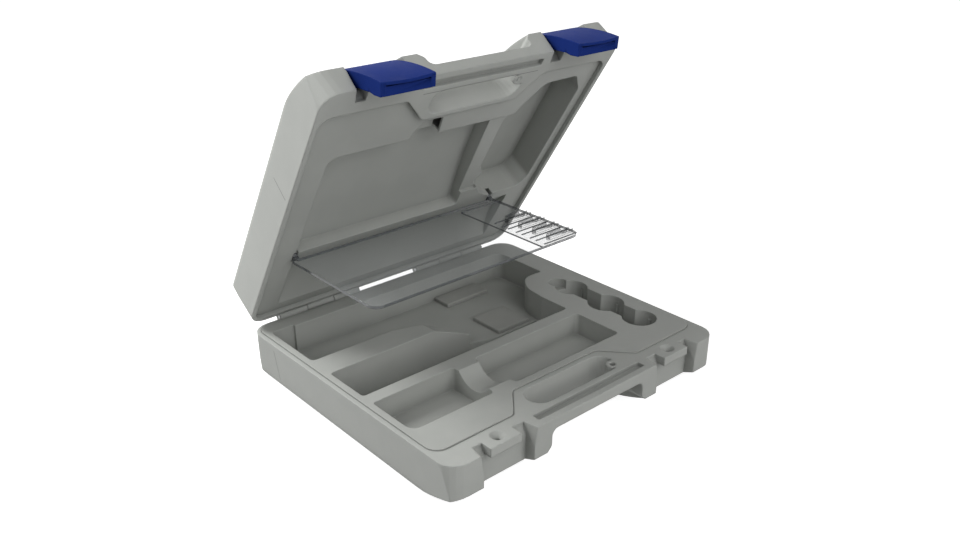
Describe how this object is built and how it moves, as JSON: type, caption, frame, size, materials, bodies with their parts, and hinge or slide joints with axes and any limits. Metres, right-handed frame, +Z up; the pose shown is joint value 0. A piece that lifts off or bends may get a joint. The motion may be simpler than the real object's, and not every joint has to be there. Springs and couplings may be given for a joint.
{
  "type": "otoscope carry case",
  "caption": "Hard plastic carry case for a hand-held ear examination set, open, with blue latches, fitted trays and a clear inner cover with clips.",
  "frame": {"origin": "centre of the base's flat underside, halfway across and halfway deep at the rim", "axes": "+X to the right seen from the handle side, +Y from the handle to the hinge, +Z up when the base lies flat"},
  "size_m": [0.3, 0.3103, 0.2916],
  "materials": {
    "shell_plastic": "light grey moulded shell plastic with a fine even grain",
    "tray_plastic": "light grey formed tray plastic, smoother than the shells",
    "pad_rubber": "dull grey foam rubber pad",
    "latch_plastic": "satin blue moulded plastic",
    "pin_steel": "bare drawn steel wire",
    "clear_plastic": "clear glossy sheet plastic with grey cut edges",
    "clip_plastic": "clear glossy moulded plastic"
  },
  "bodies": {
    "base": {"base_shell": "shell_plastic", "base_tray": "tray_plastic", "rear_pad": "pad_rubber", "front_pad": "pad_rubber", "left_hinge_pin": "pin_steel", "right_hinge_pin": "pin_steel"},
    "lid": {"lid_shell": "shell_plastic", "lid_tray": "tray_plastic", "left_latch_pin": "pin_steel", "right_latch_pin": "pin_steel", "left_cover_pin": "pin_steel", "right_cover_pin": "pin_steel"},
    "left_latch": {"left_latch": "latch_plastic"},
    "right_latch": {"right_latch": "latch_plastic"},
    "cover": {"clear_cover": "clear_plastic", "clip_carrier": "clip_plastic", "specula_clip_1": "clip_plastic", "specula_clip_2": "clip_plastic", "specula_clip_3": "clip_plastic", "specula_clip_4": "clip_plastic"}
  },
  "joints": [
    {"name": "lid_hinge", "type": "hinge", "parent": "base", "child": "lid", "pos_m": [0, 0.1412, 0.04515], "axis": [-1, 0, 0], "range_deg": [-57, 48]},
    {"name": "left_latch_pivot", "type": "hinge", "parent": "lid", "child": "left_latch", "pos_m": [-0.0953, 0.0037, 0.28102], "axis": [-1, 0, 0], "range_deg": [-32, 48]},
    {"name": "right_latch_pivot", "type": "hinge", "parent": "lid", "child": "right_latch", "pos_m": [0.0953, 0.0037, 0.28102], "axis": [-1, 0, 0], "range_deg": [-32, 48]},
    {"name": "cover_pivot", "type": "hinge", "parent": "lid", "child": "cover", "pos_m": [0, 0.10017, 0.11962], "axis": [-1, 0, 0], "range_deg": [-48, 57]}
  ],
  "couplings": [
    {"joint": "cover_pivot", "follows": "lid_hinge", "ratio": -1}
  ]
}
